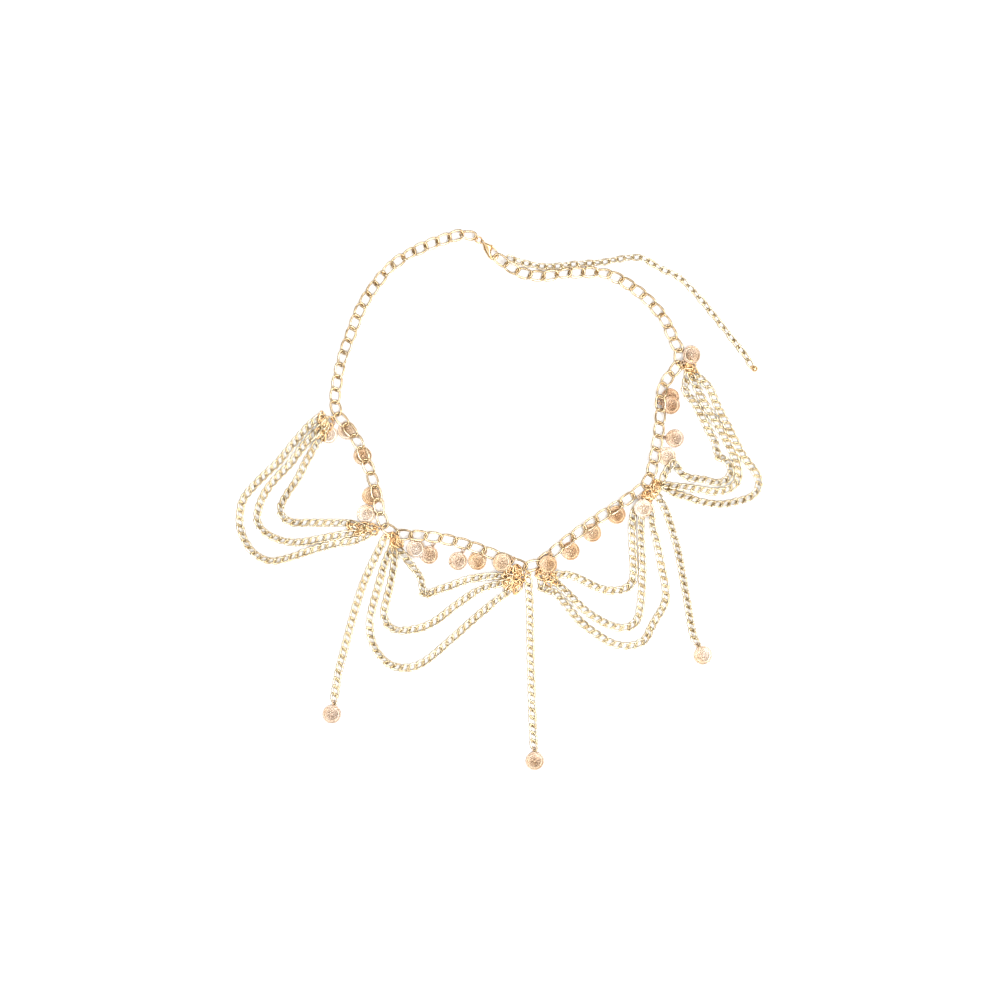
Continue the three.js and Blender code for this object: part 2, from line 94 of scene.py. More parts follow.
# name, middle x and y, heading of the ear, height of the underside, lean, heading of the
# raised side, and plating
COINS = [
    ("coin_left_1", -0.12, 0.0458, 68, 0, 0, 0, "pale"),
    # coin_left_2 has the pale plating as painted light, lifting the shade of the chain link that lies over it
    ("coin_left_2", -0.1072, 0.0486, -27, 0, 0, 0, "pale"),
    ("coin_left_3", -0.0962, 0.0308, -42, 0, 0, 0, "warm"),
    ("coin_left_4", -0.0903, 0.0028, -25, 0, 0, 0, "warm"),
    ("coin_left_5", -0.0938, -0.0098, 0, 0, 0, 0, "pale"),
    ("coin_centre_left_1", -0.0588, -0.0341, 112, 0, 9, -27, "pale"),
    ("coin_centre_left_2", -0.0497, -0.0385, 67, 0, 0, 0, "middling"),
    ("coin_centre_left_3", -0.0294, -0.0428, 63, 0, 0, 0, "middling"),
    ("coin_centre_left_4", -0.0159, -0.0427, 50, 0, 0, 0, "warm"),
    ("coin_centre_left_5", 0.0013, -0.0437, 20, ON_BELT_CHAIN, 0, 0, "warm"),
    ("coin_centre_right_1", 0.0336, -0.0451, 82, ON_BELT_CHAIN, 0, 0, "warm"),
    ("coin_centre_right_2", 0.0494, -0.0358, 80, 0, 0, 0, "warm"),
    ("coin_centre_right_3", 0.0646, -0.023, 65, 0, 0, 0, "warm"),
    ("coin_centre_right_4", 0.0816, -0.0104, 66, 0, 0, 0, "warm"),
    ("coin_centre_right_5", 0.1001, -0.0059, 110, ON_FINE_CHAIN, 0, 0, "pale"),
    ("coin_right_1", 0.1169, 0.0306, 143, 0, 0, 0, "pale"),
    ("coin_right_2", 0.1225, 0.0431, 175, 0, 0, 0, "middling"),
    ("coin_right_3", 0.1196, 0.0665, 170, ON_A_COIN, 0, 0, "deep"),
    ("coin_right_4", 0.1192, 0.0718, 190, 0, 0, 0, "deep"),
    ("coin_right_5", 0.1338, 0.1016, 220, 0, 16, 180, "middling"),
    ("coin_tassel_left", -0.1177, -0.15, 80, 0, 0, 0, "middling"),
    ("coin_tassel_centre", 0.0244, -0.1827, 94, 0, 0, 0, "middling"),
    ("coin_tassel_right", 0.1422, -0.1088, 119, 0, 0, 0, "pale"),
]


def shaded(hex_colour, share):
    """A hex colour with each channel at a share of its value."""
    return "#" + "".join(f"{round(int(hex_colour[i:i + 2], 16) * share):02X}" for i in (1, 3, 5))


def linear(hex_colour):
    """A linear RGBA colour from an sRGB hex value."""
    channels = [int(hex_colour[i:i + 2], 16) / 255 for i in (1, 3, 5)]
    return [c / 12.92 if c <= 0.04045 else ((c + 0.055) / 1.055) ** 2.4 for c in channels] + [1]


def add_node(material, kind, settings=None, **links):
    """A node of a material or world: its settings, and values or links by socket name."""
    tree = material.node_tree
    node = tree.nodes.new(kind)
    for key, value in (settings or {}).items():
        setattr(node, key, value)
    for socket, value in links.items():
        target = node.inputs[socket.replace("_", " ")]
        if isinstance(value, bpy.types.NodeSocket):
            tree.links.new(value, target)
        else:
            target.default_value = value
    return node


def blend_colours(material, share, stops):
    """A colour ramp through hex colours at the given places."""
    ramp = add_node(material, "ShaderNodeValToRGB", Fac=share)
    while len(ramp.color_ramp.elements) < len(stops):
        ramp.color_ramp.elements.new(0.5)
    for element, (place, colour) in zip(ramp.color_ramp.elements, stops):
        element.position = place
        element.color = linear(colour)
    return ramp.outputs["Color"]


def stamped_gold_plate(name, colours):
    """Gold-plated stamped brass: a satin metal, patchy in tone, with worn fine relief."""
    material = bpy.data.materials.new(name)
    material.use_nodes = True
    links = material.node_tree.links
    shader = material.node_tree.nodes["Principled BSDF"]
    place = add_node(material, "ShaderNodeTexCoord").outputs["Object"]
    patches = add_node(material, "ShaderNodeTexNoise", Vector=place, Scale=90, Detail=2).outputs["Fac"]
    wear = add_node(material, "ShaderNodeTexNoise", Vector=place, Scale=1400, Detail=3).outputs["Fac"]
    tone = add_node(material, "ShaderNodeMath", {"operation": "MULTIPLY_ADD"})
    links.new(wear, tone.inputs[0])
    tone.inputs[1].default_value = WEAR_SHARE
    links.new(patches, tone.inputs[2])
    colour = blend_colours(material, tone.outputs[0], list(zip(PLATING_STOPS, colours)))
    # Worn relief about 0.9 mm across, the finest that still shows from a step away
    relief = add_node(material, "ShaderNodeTexNoise", Vector=place, Scale=1100, Detail=2).outputs["Fac"]
    bump = add_node(material, "ShaderNodeBump", Height=relief, Strength=0.85, Distance=0.0004)
    links.new(colour, shader.inputs["Base Color"])
    links.new(bump.outputs["Normal"], shader.inputs["Normal"])
    shader.inputs["Metallic"].default_value = 1
    shader.inputs["Roughness"].default_value = SATIN_ROUGHNESS
    return material


def add_piece(name, bm, materials, slot, *nodes):
    """A finished piece of the belt from its bmesh, standing for the solids of these nodes."""
    for face in bm.faces:
        face.smooth = True
    mesh = bpy.data.meshes.new(name)
    bm.to_mesh(mesh)
    bm.free()
    for material in materials:
        mesh.materials.append(material)
    piece = bpy.data.objects.new(name, mesh)
    bpy.context.scene.collection.objects.link(piece)
    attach(piece, "root")
    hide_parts(*nodes)


def put(bm, shape, place):
    """A copy of a shape in the bmesh, moved by a matrix."""
    before = len(bm.verts)
    bm.from_mesh(shape)
    bm.verts.ensure_lookup_table()
    bmesh.ops.transform(bm, matrix=place, verts=bm.verts[before:])


def ring_shape(name, radius, wire, around, across):
    """A ring of round wire, flat in the XY plane."""
    bm = bmesh.new()
    circle = bmesh.ops.create_circle(bm, radius=wire / 2, segments=across)["verts"]
    bmesh.ops.rotate(bm, verts=circle, matrix=Matrix.Rotation(math.pi / 2, 3, "X"))
    bmesh.ops.translate(bm, verts=circle, vec=(radius, 0, 0))
    bmesh.ops.spin(bm, geom=bm.verts[:] + bm.edges[:], axis=(0, 0, 1), cent=(0, 0, 0), steps=around,
                   angle=2 * math.pi, use_merge=True)
    bmesh.ops.recalc_face_normals(bm, faces=bm.faces)
    shape = bpy.data.meshes.new(name)
    bm.to_mesh(shape)
    bm.free()
    return shape


def coin_shape():
    """A coin with its face up and its underside at Z = 0. The second material is for its hollows, painted
    darker as shade.
    """
    bm = bmesh.new()
    bmesh.ops.create_circle(bm, cap_ends=True, radius=COIN_RADIUS, segments=48)
    bottom = bm.faces[:]
    extruded = bmesh.ops.extrude_face_region(bm, geom=bottom)["geom"]
    top = [part for part in extruded if isinstance(part, bmesh.types.BMFace)]
    bmesh.ops.translate(bm, verts=[part for part in extruded if isinstance(part, bmesh.types.BMVert)],
                        vec=(0, 0, COIN_THICK))
    # Walls that step down and the sunken field take the second material: painted shade in the recesses
    for width, rise in COIN_STEPS:
        step = bmesh.ops.inset_region(bm, faces=top, thickness=width, depth=0)["faces"]
        bmesh.ops.translate(bm, verts=top[0].verts[:], vec=(0, 0, rise))
        for face in step:
            face.material_index = int(rise < 0)
    top[0].material_index = 1
    bmesh.ops.recalc_face_normals(bm, faces=bm.faces)
    field = top[0].verts[0].co.z
    for i in range(COIN_BEADS):
        turn = Matrix.Rotation(2 * math.pi * i / COIN_BEADS, 4, "Z")
        spot = turn @ Matrix.Translation((BEAD_CIRCLE, 0, BEAD_HEIGHT))
        bmesh.ops.create_icosphere(bm, subdivisions=1, radius=COIN_BEAD, matrix=spot)
    length, width, height = STROKE_HALF_SIZE
    for i in range(COIN_STROKES):
        # Unevenly spaced by threes, and every other stroke longer
        turn = Matrix.Rotation(2 * math.pi * (i + 0.3 * (i % 3)) / COIN_STROKES, 4, "Z")
        spot = turn @ Matrix.Translation((STROKE_CIRCLE, 0, field)) @ Matrix.Diagonal(
            (length + STROKE_EXTRA * (i % 2), width, height, 1))
        bmesh.ops.create_icosphere(bm, subdivisions=1, radius=1, matrix=spot)
    for i in range(COIN_LEAVES):
        turn = Matrix.Rotation(2 * math.pi * i / COIN_LEAVES, 4, "Z")
        spot = (turn @ Matrix.Translation((LEAF_CIRCLE, 0, field)) @ Matrix.Rotation(LEAF_TURN, 4, "Z")
                @ Matrix.Diagonal((*LEAF_HALF_SIZE, 1)))
        bmesh.ops.create_icosphere(bm, subdivisions=2, radius=1, matrix=spot)
    boss = Matrix.Translation((0, 0, field)) @ Matrix.Diagonal((*BOSS_HALF_SIZE, 1))
    bmesh.ops.create_icosphere(bm, subdivisions=2, radius=1, matrix=boss)
    shape = bpy.data.meshes.new("coin")
    bm.to_mesh(shape)
    bm.free()
    return shape


coin_golds = {}
for name, colours in PLATINGS.items():
    # The hollows get each colour darkened: painted shade
    hollow_shade_colours = [shaded(colour, HOLLOW_PAINTED_SHADE) for colour in colours]
    coin_golds[name] = [stamped_gold_plate("gold_plated_stamped_brass_" + name, colours),
                        stamped_gold_plate("gold_plated_stamped_brass_hollows_" + name, hollow_shade_colours)]
coin = coin_shape()
coin_ear = ring_shape("coin_ear", (EAR_RADIUS + EAR_HOLE) / 2, EAR_RADIUS - EAR_HOLE, around=16, across=8)
coin_ring = ring_shape("coin_ring", COIN_RING_RADIUS, COIN_RING_WIRE, around=20, across=8)
for name, x, y, ear, rise, lean, up, plating in COINS:
    raised = math.radians(up)
    axis = Vector((math.sin(raised), -math.cos(raised), 0))
    lift = COIN_RADIUS * math.sin(math.radians(lean))
    place = (Matrix.Translation(MIDDLE + Vector((x, y, rise + lift)))
             @ Matrix.Rotation(math.radians(lean), 4, axis) @ Matrix.Rotation(math.radians(ear), 4, "Z"))
    coin_bm = bmesh.new()
    put(coin_bm, coin, place)
    put(coin_bm, coin_ear, place @ Matrix.Translation((EAR_REACH, 0, COIN_THICK / 2)))
    hook = Matrix.Translation((EAR_REACH + COIN_RING_RADIUS, 0, COIN_RING_RADIUS * math.sin(COIN_RING_TILT)
                               + COIN_RING_WIRE / 2))
    put(coin_bm, coin_ring, place @ hook @ Matrix.Rotation(COIN_RING_TILT, 4, "X"))
    add_piece(name + "_disc", coin_bm, coin_golds[plating], "coin_gold", name)

# The belt chain: oval links bent from round brass wire and hooked into each other. Each
# link's two ends are turned opposite ways, so the chain lies flat. It is polished and
# plated, and where it crosses a coin it rides over it.

BELT_WIRE = 0.00165
LINK_WIDTH = 0.0083
LINK_TWIST = math.radians(25)
LINK_SLANT = 0.2
LINK_UNEVENNESS = 0.04
# How much longer than its pitch a link of any chain is, in wires
OVERLAP = 2.1
# Under 1, a link's ends are blunter than an oval's
LINK_BLUNTNESS = 0.78
# From this share of a link's length, measured from its middle, its neighbours rub on it, and the ends there
# take a darker colour as painted shade between the links
IN_JOINT = 0.27
# A chain climbs on to a coin over RAMP, and a link lifted by FLATTENING_LIFT lies level
RAMP = 0.004
FLATTENING_LIFT = 0.003
STEPS_BETWEEN_POINTS = 24

# name, number of links, the links that lie turned and by how much, and the line of their middles
BELT_STRETCHES = [
    ("belt_rear_left", 20, {0: 0.5, 5: 0.5, 7: 0.45, 15: 0.5, 16: 0.3}, [
        (-0.0181, 0.1844), (-0.0259, 0.1862), (-0.0369, 0.1833), (-0.056, 0.176), (-0.0742, 0.1652),
        (-0.0879, 0.1496), (-0.0976, 0.1339), (-0.1039, 0.1172), (-0.1103, 0.0994), (-0.114, 0.0823),
        (-0.1158, 0.0686), (-0.1139, 0.06)]),
    ("belt_front_left", 9, {}, [
        (-0.1139, 0.06), (-0.1054, 0.0499), (-0.0998, 0.0419), (-0.0954, 0.0314), (-0.089, 0.0146),
        (-0.0846, -0.0048), (-0.0829, -0.0143), (-0.0809, -0.0185)]),
    ("belt_front_centre_left", 10, {}, [
        (-0.0809, -0.0185), (-0.077, -0.0231), (-0.0679, -0.0243), (-0.0575, -0.0247),
        (-0.0466, -0.0258), (-0.0261, -0.0303), (-0.0057, -0.0375), (0.0136, -0.0455),
        (0.0178, -0.0471)]),
    ("belt_front_centre_right", 10, {}, [
        (0.0178, -0.0471), (0.0223, -0.0473), (0.0305, -0.0423), (0.047, -0.0286), (0.0635, -0.0165),
        (0.0804, -0.0053), (0.0976, 0.0064), (0.1013, 0.0095)]),
    ("belt_front_right", 10, {}, [
        (0.1013, 0.0095), (0.1049, 0.014), (0.1065, 0.0219), (0.1103, 0.0409), (0.1123, 0.0596),
        (0.1119, 0.0689), (0.1137, 0.0787), (0.1178, 0.086), (0.1239, 0.0917), (0.1257, 0.0955)]),
    ("belt_rear_right", 18, {3: 0.3, 9: 0.5, 12: 0.5}, [
        (0.1257, 0.0955), (0.1266, 0.1008), (0.1245, 0.1071), (0.12, 0.1154), (0.1165, 0.1243),
        (0.1058, 0.138), (0.0916, 0.1499), (0.0741, 0.1585), (0.0471, 0.1588), (0.0283, 0.1565),
        (0.0186, 0.158), (0.009, 0.1614), (0.002, 0.1666), (-0.0029, 0.1707)]),
]

# What a chain rides over, as x, y, reach and the height of its top: the nose of the clasp,
# and the coins that lie low and nearly level
MOST_LEAN = 10
CLASP_NOSE_TOP = (-0.002, 0.1689, 0.0038, 0.0027)
SUPPORTS = [(x, y, COIN_RADIUS, rise + ON_A_COIN + COIN_RADIUS * math.sin(math.radians(lean)))
            for name, x, y, ear, rise, lean, up, plating in COINS
            if rise <= ON_A_COIN and lean <= MOST_LEAN and "tassel" not in name]
SUPPORTS.append(CLASP_NOSE_TOP)


def polished_gold_plate(name, colours):
    """Gold-plated drawn wire: a bright pale metal, faintly uneven in gloss and tone."""
    material = bpy.data.materials.new(name)
    material.use_nodes = True
    links = material.node_tree.links
    shader = material.node_tree.nodes["Principled BSDF"]
    place = add_node(material, "ShaderNodeTexCoord").outputs["Object"]
    patches = add_node(material, "ShaderNodeTexNoise", Vector=place, Scale=160, Detail=2).outputs["Fac"]
    colour = blend_colours(material, patches, list(zip((0.35, 0.55, 0.7), colours)))
    gloss = add_node(material, "ShaderNodeMapRange", Value=patches, To_Min=0.12, To_Max=0.22)
    # Draw marks on the wire, 0.4 mm apart so that they show
    marks = add_node(material, "ShaderNodeTexNoise", Vector=place, Scale=2500, Detail=1).outputs["Fac"]
    bump = add_node(material, "ShaderNodeBump", Height=marks, Strength=0.12, Distance=0.0001)
    links.new(colour, shader.inputs["Base Color"])
    links.new(gloss.outputs["Result"], shader.inputs["Roughness"])
    links.new(bump.outputs["Normal"], shader.inputs["Normal"])
    shader.inputs["Metallic"].default_value = 1
    return material


def link_shape(name, length, width, wire, flatness, twist, slant, around, across):
    """A blunt oval link along X, slanted, with flattened wire and its ends turned opposite ways.

    The second material is for its two ends, where the next links rub; its darker colour is painted shade
    between the links.
    """
    radius = (width - wire) / 2
    shape = ring_shape(name, radius, wire, around, across)
    bm = bmesh.new()
    bm.from_mesh(shape)
    for vert in bm.verts:
        outwards = Vector((vert.co.x, vert.co.y, 0)).normalized()
        across_wire = vert.co - outwards * radius
        across_wire.z = math.copysign(min(abs(across_wire.z), flatness * wire / 2), across_wire.z)
        bent = Vector([math.copysign(abs(part) ** LINK_BLUNTNESS, part) for part in outwards])
        along = bent.x * (length - wire) / 2 + slant * bent.y * radius
        vert.co = Vector((along, bent.y * radius, 0)) + across_wire
        turn = Matrix.Rotation(twist * 2 * vert.co.x / length, 3, "X")
        vert.co = turn @ vert.co
    for face in bm.faces:
        middle = face.calc_center_median()
        face.material_index = int(abs(middle.x - slant * middle.y) > length * IN_JOINT)
    bm.to_mesh(shape)
    bm.free()
    return shape


def smooth_line(points):
    """A smooth line on the table through points, its curve eased by the distance between them."""
    knots = [Vector((x, y, 0)) + MIDDLE for x, y in points]
    line = []
    for i in range(len(knots) - 1):
        here, there = knots[i], knots[i + 1]
        before = knots[i - 1] if i else here * 2 - there
        after = knots[i + 2] if i + 2 < len(knots) else there * 2 - here
        first, middle, last = (math.sqrt((q - p).length) for p, q in (
            (before, here), (here, there), (there, after)))
        leave = ((here - before) / first - (there - before) / (first + middle) + (there - here) / middle)
        arrive = ((there - here) / middle - (after - here) / (middle + last) + (after - there) / last)
        line += interpolate_bezier(here, here + leave * middle / 3, there - arrive * middle / 3, there,
                                   STEPS_BETWEEN_POINTS + 1)[:-1]
    return line + [knots[-1]]


def distances_along(line):
    """The distance of each point of a line from its start."""
    distances = [0]
    for here, there in zip(line, line[1:]):
        distances.append(distances[-1] + (there - here).length)
    return distances


def spot_on(line, distances, distance):
    """The place at a distance along a line."""
    i = min(max(bisect.bisect(distances, distance) - 1, 0), len(line) - 2)
    share = (distance - distances[i]) / (distances[i + 1] - distances[i])
    return line[i].lerp(line[i + 1], share)


def lift_at(place, half_width):
    """How high a chain is carried at a place."""
    lift = 0
    for x, y, reach, height in SUPPORTS:
        away = (place.xy - MIDDLE.xy - Vector((x, y))).length - reach - half_width
        lift = max(lift, height * (1 - min(max(away / RAMP, 0), 1)))
    return lift


def lay_chain(bm, shape, line, begin, end, links, half_width, rolls):
    """Links laid along a line from begin to end, each rolled and resting on its lowest side."""
    distances = distances_along(line)
    pitch = (end - begin) / links
    for i in range(links):
        tail, nose = (spot_on(line, distances, begin + (i + side) * pitch) for side in (0, 1))
        lifts = [lift_at(end_of_link, half_width) for end_of_link in (tail, nose)]
        roll = rolls[i] * max(1 - max(lifts) / FLATTENING_LIFT, 0)
        below = min((Matrix.Rotation(roll, 3, "X") @ vert.co).z for vert in shape.vertices)
        tail.z, nose.z = (lift - below for lift in lifts)
        ahead = nose - tail
        place = (Matrix.Translation((tail + nose) / 2)
                 @ Matrix.Rotation(math.atan2(ahead.y, ahead.x), 4, "Z")
                 @ Matrix.Rotation(-math.asin(ahead.z / ahead.length), 4, "Y")
                 @ Matrix.Rotation(roll, 4, "X"))
        put(bm, shape, place)


hand = random.Random(11)
# The second set of colours is darker, for the links' ends: painted shade where the links meet
belt_gold = [polished_gold_plate("gold_plated_brass_wire", ["#D4BB97", "#DFC9A9", "#E9D7BE"]),
             polished_gold_plate("gold_plated_brass_wire_painted_joint_shade", ["#BFA681", "#CBB592", "#D7C5A6"])]
belt_points = BELT_STRETCHES[0][3][:1] + [point for stretch in BELT_STRETCHES for point in stretch[3][1:]]
belt_line = smooth_line(belt_points)
belt_distances = distances_along(belt_line)
passed = 0
for name, links, turned, route in BELT_STRETCHES:
    begin = belt_distances[passed * STEPS_BETWEEN_POINTS]
    passed += len(route) - 1
    end = belt_distances[passed * STEPS_BETWEEN_POINTS]
    belt_bm = bmesh.new()
    link = link_shape("belt_link", (end - begin) / links + OVERLAP * BELT_WIRE, LINK_WIDTH, BELT_WIRE, 1,
                      LINK_TWIST, LINK_SLANT, around=24, across=8)
    rolls = [turned.get(i, 0) + hand.uniform(-LINK_UNEVENNESS, LINK_UNEVENNESS) for i in range(links)]
    lay_chain(belt_bm, link, belt_line, begin, end, links, LINK_WIDTH / 2, rolls)
    add_piece(name + "_links", belt_bm, belt_gold, "chain_gold", name)

# The jump rings: round brass wire, closed by hand, each on the belt chain through a
# smaller ring. The ends of the swags and the tops of the tassels are gathered on them.

RING_WIRE = 0.0011
HANGER_WIRE = 0.0009
RING_TILT = math.radians(24)
HANGER_TILT = math.radians(58)
# How much wider than its reach a hanger is, in its own wires
HANGER_SLACK = 0.75

# name, middle x and y, radius of the wire's line
RINGS = [
    ("ring_left_rear", -0.1193, 0.0559, 0.0026),
    ("ring_left_front", -0.0881, -0.022, 0.00305),
    ("ring_tassel_left", -0.0806, -0.0265, 0.002),
    ("ring_centre_left_start", -0.0743, -0.0309, 0.00295),
    ("ring_centre_left_end", 0.0114, -0.0537, 0.0034),
    ("ring_tassel_centre", 0.0197, -0.0522, 0.002),
    ("ring_centre_right_start", 0.0297, -0.0526, 0.0034),
    ("ring_centre_right_end", 0.1034, 0.0013, 0.00305),
    ("ring_tassel_right", 0.1089, 0.0057, 0.0022),
    ("ring_right_end", 0.1117, 0.0112, 0.0026),
    ("ring_right_start", 0.1321, 0.0913, 0.00265),
    ("ring_clasp", -0.015, 0.1822, 0.0024),
]


def nearest_on_belt(place):
    """The place on the belt chain's middle line that lies nearest."""
    return min(belt_line, key=lambda spot: (spot.xy - place.xy).length)


ring_gold = [polished_gold_plate("gold_plated_brass_rings", ["#DDB687", "#E7C699", "#EFD6B2"])]
for name, x, y, radius in RINGS:
    middle = Vector((x, y, 0)) + MIDDLE
    to_belt = nearest_on_belt(middle) - middle
    heading = Matrix.Rotation(math.atan2(to_belt.y, to_belt.x), 4, "Z")
    # From the ring's middle to the nearer wire of the belt chain
    wire_distance = to_belt.length - (LINK_WIDTH - BELT_WIRE) / 2
    ring_bm = bmesh.new()
    height = radius * math.sin(RING_TILT) + RING_WIRE / 2
    ring = ring_shape("jump_ring", radius, RING_WIRE, around=24, across=8)
    put(ring_bm, ring, Matrix.Translation((middle.x, middle.y, height)) @ heading
        @ Matrix.Rotation(RING_TILT, 4, "X"))
    hanger_radius = (wire_distance - radius) / 2 + (RING_WIRE + BELT_WIRE) / 4 + HANGER_WIRE * HANGER_SLACK
    hanger = ring_shape("hanger_ring", hanger_radius, HANGER_WIRE, around=20, across=8)
    hanger_height = hanger_radius * math.sin(HANGER_TILT) + HANGER_WIRE / 2
    put(ring_bm, hanger, Matrix.Translation((middle.x, middle.y, 0)) @ heading
        @ Matrix.Translation(((radius + wire_distance) / 2, 0, hanger_height))
        @ Matrix.Rotation(HANGER_TILT, 4, "X"))
    add_piece(name + "_wire", ring_bm, ring_gold, "chain_gold", name)

# The swags and tassels: fine curb chain of slightly flattened 1.45 mm brass wire, its
# slanted links 6 mm wide. Three swags hang between two jump rings in each group, and a
# tassel ends in a coin.

FINE_WIRE = 0.00145
FINE_WIDTH = 0.006
FINE_FLATNESS = 0.85
FINE_PITCH = 0.00545
FINE_TWIST = math.radians(22)
FINE_SLANT = 0.7
FINE_UNEVENNESS = 0.14
# How far a link is turned where a chain lies edgewise, and the length of chain that eases into it
EDGEWISE = 0.5
EASING = 0.012
# How far inside the wire of its ring a chain begins, and how far from a coin's ear it ends
HOOKED = 0.0002
COIN_HOOK_RADIUS = COIN_RING_RADIUS * 1.2

